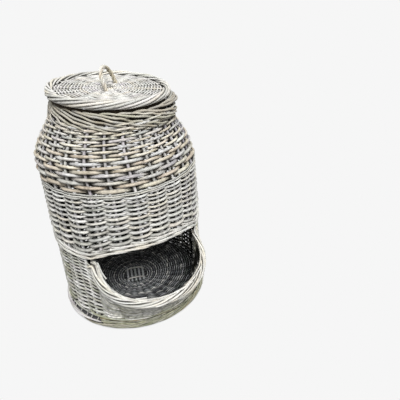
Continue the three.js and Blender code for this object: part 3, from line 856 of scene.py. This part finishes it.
def build_rim():
    rods = Rods()
    span = OPENING_HALF
    centre, out, _ = rim_core(np.linspace(-span - 2, span + 2, RIM_CORE_STEPS))
    rods.add(centre, RIM_CORE_RADIUS, -out, pick(RIM_PALETTE) * RIM_INNER_TONE, hidden=RIM_CORE_TONE)
    rolled(rods, rim_core, RIM_PALETTE, count=15, span=38, turn=220, start=-125, girth=7.3 * MM,
           radius=2.2 * MM, first=-span - 24, sweep=2 * span + 24)
    rolled(rods, rim_core, RIM_PALETTE, count=6, span=30, turn=-70, start=150, girth=8.0 * MM,
           radius=1.9 * MM, first=-span - 6, sweep=2 * span - 16)
    for aside, last in RIM_LONG_RODS:
        centre, out, up = rim_core(np.linspace(-span - 2, last, RIM_LONG_STEPS))
        height = RIM_LONG_HEIGHT + wander(RIM_LONG_STEPS, RIM_LONG_WANDER)
        path = centre + out * aside + up * height[:, None]
        rods.add(path, RIM_LONG_RADIUS, up, along(RIM_PALETTE, RIM_LONG_STEPS), hidden=ROLL_BACK)
    for place, length in RIM_STRAYS:
        centre, out, up = rim_core(place + np.linspace(0, length, RIM_STRAY_STEPS))
        share = np.linspace(0, 1, RIM_STRAY_STEPS)[:, None]
        path = centre - out * blend(*RIM_STRAY_IN, share) + up * blend(*RIM_STRAY_UP, share)
        rods.add(path, RIM_STRAY_RADIUS, up, pick(RIM_PALETTE), hidden=ROLL_BACK)
    rods.piece("scoop_rim_rods", PALE_WILLOW, "basket", "pale_willow", ["scoop_rim"])


RING_STEPS = 90


def ring_core(radius, height):
    def core(azimuth):
        return on_jar(azimuth, radius, height), outward(azimuth), np.tile(UP, (len(azimuth), 1))

    return core


# The foot: a border, leaning uprights over it, and the skirt, which is the weave below the scoop. Its rods
# by palette, count, first azimuth and sweep, and radii and heights at the foot and at the top
BORDER_INSET = 5.2 * MM
BORDER_RODS = [(STAKE_PALETTE, 24, 38, 244), (SKIRT_PALETTE, 9, -66.4, 110)]
FOOT_UPRIGHTS = 56
UPRIGHT_RADII = (FOOT_RADIUS - 6 * MM, WALL_CENTRE + 1 * MM)
UPRIGHT_HEIGHTS = (4 * MM, LOWER_START + 8 * MM)
UPRIGHT_STEPS = 8
UPRIGHT_RADIUS = 1.7 * MM
UPRIGHT_STRAY = 0.25
UPRIGHT_LEAN = (-2.2, 1.2)
SKIRT_ROWS = 7
SKIRT_STEPS = 64
SKIRT_ENDS = (-3.6, 2.6)
SKIRT_STRAY = 0.3
SKIRT_RADII = (FOOT_RADIUS - 4 * MM, WALL_CENTRE - 2 * MM)
SKIRT_HEIGHTS = (3 * MM, LOWER_START + 4 * MM)
SKIRT_RADIUS = 1.9 * MM
SKIRT_DEPTH = 2.2 * MM
SKIRT_SPECKLE = 0.2


def skirt_surface(azimuth, share):
    """The scoop's foot, where the weave runs down to the floor."""
    return on_jar(azimuth, blend(*SKIRT_RADII, share), blend(*SKIRT_HEIGHTS, share))


def build_foot():
    """A thin twisted border under open uprights, with weave over it below the scoop."""
    rods = Rods()
    centre = ring_core(FOOT_RADIUS - BORDER_INSET, BORDER_INSET)
    for palette, count, first, sweep in BORDER_RODS:
        rolled(rods, centre, palette, count, span=40, turn=240, start=-90, girth=2.8 * MM, radius=2.3 * MM,
               first=first, sweep=sweep)
    for number in range(FOOT_UPRIGHTS):
        place = (number + rng.uniform(-UPRIGHT_STRAY, UPRIGHT_STRAY)) * STAKE_COUNT / FOOT_UPRIGHTS
        azimuth = stake_azimuth(place)
        if opening_share(azimuth) > 1:
            share = np.linspace(0, 1, UPRIGHT_STEPS)
            lean = azimuth + blend(*UPRIGHT_LEAN, share)
            path = on_jar(lean, blend(*UPRIGHT_RADII, share), blend(*UPRIGHT_HEIGHTS, share))
            rods.add(path, UPRIGHT_RADIUS, outward(lean), pick(STAKE_PALETTE) * STAKE_TONE, sides=6)
    for number in range(SKIRT_ROWS):
        start = SKIRT_ENDS[0] - rng.uniform(0, SKIRT_STRAY)
        place = np.linspace(start, SKIRT_ENDS[1] + rng.uniform(0, SKIRT_STRAY), SKIRT_STEPS)
        centre, normal = with_normal(skirt_surface, stake_azimuth(place), (number + 0.3) / SKIRT_ROWS)
        path = centre + normal * (SKIRT_DEPTH * np.cos(np.pi * (place + number)))[:, None]
        tints = along(SKIRT_PALETTE, SKIRT_STEPS) * varied(SKIRT_SPECKLE, SKIRT_STEPS)[:, None]
        # Painted shade on the skirt rods' inner sides
        rods.add(path, SKIRT_RADIUS * (1 + wander(SKIRT_STEPS, 0.1, 5)), normal, tints, hidden=0.4)
    rods.piece("foot_border_rods", PALE_WILLOW, "basket", "pale_willow", ["foot_border"])


# A neck rod's course: degrees along the neck, how far outside NECK_OUTER, and how far above the frame's top
NECK_OUTER = NECK_RADIUS - 5 * MM
NECK_HEIGHT = neck_high.z - neck_low.z
NECK_COURSE = [0, 5, 14, 26, 44, 64, 84, 92]
NECK_OUT = np.array([-13, -10, -7, -4, -1, 2, 4, 1]) * MM
NECK_RISE = np.array([4 - NECK_HEIGHT / MM, -7, -5.5, -8, -15, -25, -34, -38]) * MM
NECK_STEPS = 34
NECK_STRETCH = 0.07
NECK_SOFTENING = 2
NECK_ROD_RADIUS = 2.35 * MM
NECK_TAPER_PLACES = [0, 60, 92]
NECK_TAPER = [1, 1, 0.7]
NECK_VARIETY = 0.12
NECK_LOOSENESS = 1.6 * MM
# Painted shade: the neck's rods are darkened all over, where the lid shades them, and further on their sides
# facing in and down
NECK_TONE = 0.74
NECK_FACING = 0.8
NECK_BACK = 0.08

# The neck's top follows the lid's tilt. Its rods hang less low on the right, and their ends splay there
NECK_FOLLOW = 0.85
NECK_SEAT = 1 * MM
NECK_SEAT_RADIUS = NECK_RADIUS - 8 * MM
NECK_SHORT_FROM, NECK_SHORT_TO, NECK_SHORT_BLEND = 5, 200, 50
NECK_END_AZIMUTH = 75
NECK_END_FLARE = 8 * MM
NECK_END_START, NECK_END_BLEND = 0.4, 0.4

# Rings behind the neck's rods, painted dark as shade
NECK_CORE_RINGS = 9
NECK_CORE_INSET = 13 * MM
NECK_CORE_TOP = 3.6 * MM
NECK_CORE_PITCH = 3.8 * MM
NECK_CORE_RADIUS = 2.6 * MM
NECK_CORE_TONE = 0.12


def neck_lift(azimuth):
    """How much higher the neck stands than in the frame, since the lid sits askew on it."""
    level = on_jar(azimuth, NECK_SEAT_RADIUS, LID_CENTRE[2])
    return (askew(level) - level)[:, 2] * NECK_FOLLOW - NECK_SEAT


def build_neck():
    rods = Rods()
    azimuth = np.linspace(0, NECK_COURSE[-1], NECK_STEPS)
    ways = (NECK_OUT, NECK_RISE)
    out, rise = [softened(np.interp(azimuth, NECK_COURSE, way), NECK_SOFTENING) for way in ways]
    for number in range(STAKE_COUNT):
        turned = stake_azimuth(number) + azimuth * varied(NECK_STRETCH)
        short = smooth_step((turned - NECK_SHORT_FROM) / NECK_SHORT_BLEND)
        short = short * fade(turned, NECK_SHORT_TO, NECK_SHORT_BLEND)
        height = neck_high.z + rise * (1 - short / 2) + wander(NECK_STEPS, NECK_LOOSENESS) + neck_lift(turned)
        facing_end = np.cos(np.radians(turned - NECK_END_AZIMUTH))
        flare = smooth_step((facing_end - NECK_END_START) / NECK_END_BLEND) * (azimuth / azimuth[-1]) ** 2
        radius = NECK_OUTER + out + wander(NECK_STEPS, NECK_LOOSENESS) + flare * NECK_END_FLARE
        path = on_jar(turned, radius, height)
        path += sway(path[:, 2])
        thick = NECK_ROD_RADIUS * varied(NECK_VARIETY) * np.interp(azimuth, NECK_TAPER_PLACES, NECK_TAPER)
        facing = unit(outward(turned) + NECK_FACING * UP)
        rods.add(path, thick, facing, along(NECK_PALETTE, NECK_STEPS) * NECK_TONE, hidden=NECK_BACK)
    turn = np.linspace(0, 360, RING_STEPS)
    for number in range(NECK_CORE_RINGS):
        height = neck_high.z - NECK_CORE_TOP - NECK_CORE_PITCH * number
        path = askew(on_jar(turn, NECK_OUTER - NECK_CORE_INSET, height))
        rods.add(path, NECK_CORE_RADIUS, outward(turn), pick(NECK_CORE_PALETTE) * NECK_CORE_TONE)
    rods.piece("neck_border_rods", SHOULDER_WILLOW, "basket", "brown_willow", ["neck_border"])


# The crossing sticks and rings of the base and the lid
# Painted shade: sticks that lie under others and the lid border's core are darkened by CORE_TONE
CORE_TONE = 0.25
DISC_OUTER_STEPS = 1.5
DISC_STRAND_SHIFT = 0.12
DISC_LOOSENESS = 0.2 * MM
DISC_STRAY = 0.07
DISC_SWELL = 0.08
# Painted shade: a ring rod's underside (DISC_BACK) and the places where it dips (DISC_LOW_TONE)
DISC_BACK = 0.2
DISC_LOW_TONE = 0.1
DISC_MOTTLE = 0.06
FAN_STEPS = 6
SLATH_STEPS = 8
# Painted shade on the crossing sticks' undersides
SLATH_BACK = 0.3
BINDING_RADIUS = 0.8
BINDING_RISE = 2.6
BINDING_DROP = 3
BINDING_TONE = 0.7


def disc(rods, height, inner, outer, pitch, sticks, stick_steps, radius, amplitude, palette, strands,
         middle=(0, 0), contrast=1):
    """Rings of rods, single or in twisted pairs, round sticks that fan out from the middle of the crossing.

    contrast is how strongly the rods are painted darker where they dip, a painted shade.
    """
    rows = int((outer - inner) / pitch)
    for number in range(rows):
        ring = inner + (number + 0.5) * pitch
        steps = int(sticks * stick_steps * (1 if ring < outer / 2 else DISC_OUTER_STEPS)) + 1
        place = np.linspace(0, sticks, steps)
        azimuth = 360 * (place + 2 * rng.integers(0, sticks // 2) + rng.normal(0, DISC_STRAY)) / sticks
        aside = (1 - number / (rows - 1)) * np.array([*middle, 0])
        for strand in range(strands):
            turn = np.pi * (place + number + strand)
            shift = DISC_STRAND_SHIFT * (strands - 1) * pitch * np.sin(turn)
            distance = ring + shift + wander(steps, DISC_LOOSENESS)
            path = on_jar(azimuth, distance, height + amplitude * np.cos(turn)) + aside
            raised = (0.5 + 0.5 * np.cos(turn)) ** contrast
            tone = blend(DISC_LOW_TONE, 1, raised) * varied(DISC_MOTTLE, steps)
            tints = along(palette, steps) * tone[:, None]
            rods.add(path, radius * (1 + wander(steps, DISC_SWELL, 6)), UP, tints, 6, DISC_BACK)


def fan(rods, height, inner, outer, sticks, radius, palette, middle=(0, 0), tone=1):
    share = np.linspace(0, 1, FAN_STEPS)
    for number in range(sticks):
        path = on_jar(360 * number / sticks, blend(inner, outer, share), height)
        path += (1 - share)[:, None] * np.array([*middle, 0])
        rods.add(path, radius, UP, pick(palette) * tone, sides=6)


def slath(rods, height, count, pitch, radius, reach, palette, azimuth=0, middle=(0, 0)):
    """The crossing sticks in the middle, one layer on the other, bound by a rod at each end."""
    ahead, aside = outward(azimuth), outward(azimuth + 90)
    centre = np.array([middle[0], AXIS_Y + middle[1], height])
    span = np.linspace(-1, 1, SLATH_STEPS)[:, None]
    for number in range(count):
        offset = (number - (count - 1) / 2) * pitch
        for layer, run, across in ((-1, aside, ahead), (1, ahead, aside)):
            path = centre + across * offset + run * span * reach + layer * radius * UP
            # Painted shade: the lower layer is darkened
            tone = 1 if layer > 0 else CORE_TONE
            rods.add(path, radius, UP, pick(palette) * tone, hidden=SLATH_BACK)
    half = (count - 1) / 2 * pitch
    for end in (-1, 1):
        arch = UP * radius * (BINDING_RISE - BINDING_DROP * span**4)
        path = centre + ahead * end * half + aside * span * (half + 2 * radius) + arch
        tint = pick(BINDING_PALETTE) * BINDING_TONE
        rods.add(path, radius * BINDING_RADIUS, UP, tint, hidden=SLATH_BACK)


BASE_SLATH_AZIMUTH = -15
BASE_MIDDLE = (-9 * MM, -24 * MM)
BASE_SLATH_RISE = 2 * MM
BASE_STICKS = 32


def build_base():
    sticks, rods = Rods(), Rods()
    height = (base_low.z + base_high.z) / 2
    slath(sticks, height + BASE_SLATH_RISE, count=5, pitch=9.4 * MM, radius=2.7 * MM, reach=27 * MM,
          palette=BASE_SLATH_PALETTE, azimuth=BASE_SLATH_AZIMUTH, middle=BASE_MIDDLE)
    # The fan's sticks lie under the rings and are painted dark, a painted shade
    fan(sticks, height, inner=24 * MM, outer=BASE_RADIUS, sticks=BASE_STICKS, radius=2.0 * MM,
        palette=BASE_PALETTE, middle=BASE_MIDDLE, tone=CORE_TONE / 2)
    disc(rods, height, inner=28 * MM, outer=BASE_RADIUS, pitch=5.8 * MM, sticks=BASE_STICKS, stick_steps=4,
         radius=1.45 * MM, amplitude=3.6 * MM, palette=BASE_WEAVE_PALETTE, strands=2,
         middle=BASE_MIDDLE, contrast=2)
    stick_nodes = numbered("base_cross_stick", 4) + numbered("base_long_stick", 4)
    sticks.piece("base_sticks", BASE_WILLOW, "basket", "base_willow", stick_nodes)
    rods.piece("base_rods", BASE_WILLOW, "basket", "base_willow", ["base_weave"])


LID_STICKS = 16
LID_CORE_INSET = 9 * MM
LID_CORE_RADIUS = 4.8 * MM


def build_lid():
    sticks, rods, border = Rods(), Rods(), Rods()
    height = (lid_low.z + lid_high.z) / 2
    slath(sticks, height, count=4, pitch=5 * MM, radius=2.0 * MM, reach=18 * MM, palette=LID_PALETTE)
    fan(sticks, height, inner=14 * MM, outer=LID_RADIUS - 6 * MM, sticks=LID_STICKS, radius=1.6 * MM,
        palette=LID_PALETTE)
    disc(rods, height, inner=13 * MM, outer=LID_DISC_RADIUS, pitch=3.1 * MM, sticks=LID_STICKS, stick_steps=6,
         radius=1.6 * MM, amplitude=2.0 * MM, palette=LID_WEAVE_PALETTE, strands=1, contrast=0.8)
    core = ring_core(LID_RADIUS - LID_CORE_INSET, (border_low.z + border_high.z) / 2)
    turn = np.linspace(0, 360, RING_STEPS)
    # Painted shade: the border's core is darkened
    border.add(core(turn)[0], LID_CORE_RADIUS, outward(turn), pick(RIM_PALETTE) * CORE_TONE)
    rolled(border, core, LID_BORDER_PALETTE, count=24, span=84, turn=290, start=-120, girth=6.1 * MM,
           radius=2.4 * MM)
    for lid_rods in (sticks, rods, border):
        lid_rods.set_askew()
    stick_nodes = numbered("lid_cross_stick", 3) + numbered("lid_long_stick", 3)
    sticks.piece("lid_sticks", LID_WILLOW, "lid", "pale_willow", stick_nodes)
    rods.piece("lid_rods", LID_WILLOW, "lid", "pale_willow", ["lid_weave"])
    border.piece("lid_border_rods", PALE_WILLOW, "lid", "pale_willow", ["lid_border"])


# The frame's handle stands at HANDLE_AZIMUTH. The one seen is turned, moved aside, wider and leaning
HANDLE_AZIMUTH = 40
HANDLE_TURN = 33
HANDLE_ASIDE = (4 * MM, -3 * MM, 0)
HANDLE_LEAN = (-11 * MM, 0, 0)
HANDLE_SPREAD = 1.12
HANDLE_ARCH_SHARES = [(1, 0), (0.99, 0.3), (0.86, 0.62), (0.52, 0.9), (0, 1)]
HANDLE_SIDE_INSET = 4.5 * MM
HANDLE_TOP_INSET = 4.6 * MM
HANDLE_STEPS = 120
HANDLE_SOFTENING = 7
HANDLE_STRANDS = 3
HANDLE_TURNS = 4
HANDLE_GIRTH = 2.4 * MM
HANDLE_ROD_RADIUS = 2.1 * MM
HANDLE_SWELL = 0.06
# The handle's far leg is painted darker and browner, a painted shade on its inner side
HANDLE_FAR_SHADE_COLOUR = (196, 188, 168)


def build_handle():
    """Three thin rods twisted round each other in a loop."""
    rods = Rods()
    handle_low, handle_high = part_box("handle_rod_1")
    half = (handle_high.x - handle_low.x) / 2 / math.sin(math.radians(HANDLE_AZIMUTH)) - HANDLE_SIDE_INSET
    loop_height = handle_high.z - HANDLE_TOP_INSET - lid_high.z
    arch = [(half * across, lid_high.z + loop_height * up) for across, up in HANDLE_ARCH_SHARES]
    arch = [(half, lid_low.z), *arch]
    arch += [(-across, up) for across, up in arch[-2::-1]]
    corners = np.arange(len(arch))
    place = np.linspace(0, len(arch) - 1, HANDLE_STEPS)
    across, height = [softened(np.interp(place, corners, way), HANDLE_SOFTENING) for way in zip(*arch)]
    line = outward(-HANDLE_TURN)
    side = np.array([-line[1], line[0], 0])
    centre = np.array([0, AXIS_Y, 0]) + HANDLE_ASIDE + across[:, None] * HANDLE_SPREAD * line
    centre += height[:, None] * UP
    centre += ((height - lid_high.z) / loop_height)[:, None] * HANDLE_LEAN
    run = unit(np.gradient(centre, axis=0))
    up = np.cross(run, side)
    # Painted shade: how far the handle's far leg is darkened
    far_shade = smooth_step(-2 * across / half)[:, None]
    for strand in range(HANDLE_STRANDS):
        angle = 2 * np.pi * (HANDLE_TURNS * place / place[-1] + strand / HANDLE_STRANDS)
        lean = np.cos(angle)[:, None] * side + np.sin(angle)[:, None] * up
        tints = blend(along(HANDLE_PALETTE, HANDLE_STEPS), linear(HANDLE_FAR_SHADE_COLOUR), far_shade)
        thick = HANDLE_ROD_RADIUS * (1 + wander(HANDLE_STEPS, HANDLE_SWELL))
        rods.add(centre + lean * HANDLE_GIRTH, thick, lean, tints)
    rods.piece("handle_rods", PALE_WILLOW, "lid", "handle_willow", ["handle_rod_1", "handle_rod_2"])


# Camera, fitted to the round rims
CAMERA_DISTANCE = 835 * MM
CAMERA_HEIGHT = 700.5 * MM
CAMERA_AZIMUTH = -15
CAMERA_YAW = 12.1
CAMERA_PITCH = 30.09
CAMERA_ROLL = 2.42
CAMERA_LENS = 36
CAMERA_SENSOR = 36
CAMERA_CLIP = 10 * MM


def add_camera():
    heading = math.radians(CAMERA_YAW - CAMERA_AZIMUTH)
    pitch, roll = math.radians(CAMERA_PITCH), math.radians(CAMERA_ROLL)
    ahead = np.array([math.sin(heading), math.cos(heading), 0])
    forward = ahead * math.cos(pitch) - UP * math.sin(pitch)
    level = np.array([math.cos(heading), -math.sin(heading), 0])
    down = np.cross(forward, level)
    right = math.cos(roll) * level + math.sin(roll) * down
    below = -math.sin(roll) * level + math.cos(roll) * down
    place = on_jar(CAMERA_AZIMUTH, CAMERA_DISTANCE, CAMERA_HEIGHT)
    camera = add_object("camera", bpy.data.cameras.new("camera"))
    camera.data.lens = CAMERA_LENS
    camera.data.sensor_width = CAMERA_SENSOR
    camera.data.clip_start = CAMERA_CLIP
    columns = np.stack([right, -below, -forward, place], axis=1)
    camera.matrix_world = Matrix([*columns.tolist(), [0, 0, 0, 1]])
    bpy.context.scene.camera = camera


# Light and floor
BACKGROUND_LEVEL = float(linear(246))
HORIZON_STRENGTH = 0.08
ZENITH_STRENGTH = 0.95
SUN_STRENGTH = 3.1
SUN_ANGLE = 20
SUN_TILT = (38, -8, 3)
FLOOR_SIZE = 12.0
# The floor's own colour is dark: under the basket, where the camera sees it, it is a painted shade, and it
# sends little light back up
FLOOR_ALBEDO = 0.1
FLOOR_ROUGHNESS = 0.9
FOOTPRINT_EDGE = 8 * MM


def show_background(tree, shaded, keep=None):
    """Shows a plain colour to the camera and to reflections, where keep is 1, and the shaded surface else."""
    output = tree.nodes.get("Material Output") or tree.nodes["World Output"]
    rays = add_node(tree, "ShaderNodeLightPath", {})
    share = rays.outputs["Is Camera Ray"]
    for kind in ("Is Glossy Ray", "Is Transmission Ray"):
        either = add_node(tree, "ShaderNodeMath", {0: share, 1: rays.outputs[kind]}, operation="MAXIMUM")
        share = either.outputs[0]
    if keep:
        share = add_node(tree, "ShaderNodeMath", {0: share, 1: keep}, operation="MULTIPLY").outputs[0]
    kind = "ShaderNodeEmission" if output.name == "Material Output" else "ShaderNodeBackground"
    colour = (BACKGROUND_LEVEL, BACKGROUND_LEVEL, BACKGROUND_LEVEL, 1)
    plain = add_node(tree, kind, {"Color": colour, "Strength": 1})
    mix = add_node(tree, "ShaderNodeMixShader", {0: share, 1: shaded, 2: plain.outputs[0]})
    tree.links.new(mix.outputs[0], output.inputs["Surface"])


def beside_footprint(tree):
    """0 under the basket, where the floor shows its own shading, and 1 around it."""
    place = add_node(tree, "ShaderNodeTexCoord", {}).outputs["Object"]
    reach = add_node(tree, "ShaderNodeVectorMath", {0: place, 1: (0, AXIS_Y, 0)}, operation="DISTANCE")
    limits = {"From Min": FOOT_RADIUS - FOOTPRINT_EDGE, "From Max": FOOT_RADIUS}
    return add_node(tree, "ShaderNodeMapRange", {"Value": reach.outputs["Value"], **limits}).outputs[0]


def add_light():
    """An overcast sky that is brightest overhead, and a soft sun."""
    world = bpy.data.worlds.new("world")
    world.use_nodes = True
    bpy.context.scene.world = world
    tree = world.node_tree
    direction = add_node(tree, "ShaderNodeTexCoord", {}).outputs["Generated"]
    height = add_node(tree, "ShaderNodeSeparateXYZ", {0: direction}).outputs["Z"]
    limits = {"Value": height, "To Min": HORIZON_STRENGTH, "To Max": ZENITH_STRENGTH}
    climb = add_node(tree, "ShaderNodeMapRange", limits)
    sky = tree.nodes["Background"]
    sky.inputs["Color"].default_value = (1, 1, 1, 1)
    tree.links.new(climb.outputs[0], sky.inputs["Strength"])
    show_background(tree, sky.outputs[0])

    sun = add_object("sun", bpy.data.lights.new("sun", "SUN"))
    sun.data.energy = SUN_STRENGTH
    sun.data.angle = math.radians(SUN_ANGLE)
    sun.rotation_euler = [math.radians(angle) for angle in SUN_TILT]


def add_floor():
    mesh = bpy.data.meshes.new("floor")
    half = FLOOR_SIZE / 2
    corners = [(-half, -half, 0), (half, -half, 0), (half, half, 0), (-half, half, 0)]
    mesh.from_pydata(corners, [], [(0, 1, 2, 3)])
    floor = add_object("floor", mesh)
    material = bpy.data.materials.new("floor")
    material.use_nodes = True
    tree = material.node_tree
    shader = tree.nodes["Principled BSDF"]
    shader.inputs["Base Color"].default_value = (FLOOR_ALBEDO, FLOOR_ALBEDO, FLOOR_ALBEDO, 1)
    shader.inputs["Roughness"].default_value = FLOOR_ROUGHNESS
    show_background(tree, shader.outputs[0], beside_footprint(tree))
    mesh.materials.append(material)


add_camera()
add_light()
add_floor()
build_stakes()
build_shoulder()
build_middle()
build_opening_wale()
build_lower()
build_rim()
build_foot()
build_neck()
build_base()
build_lid()
build_handle()

bpy.context.scene.view_settings.view_transform = "Standard"
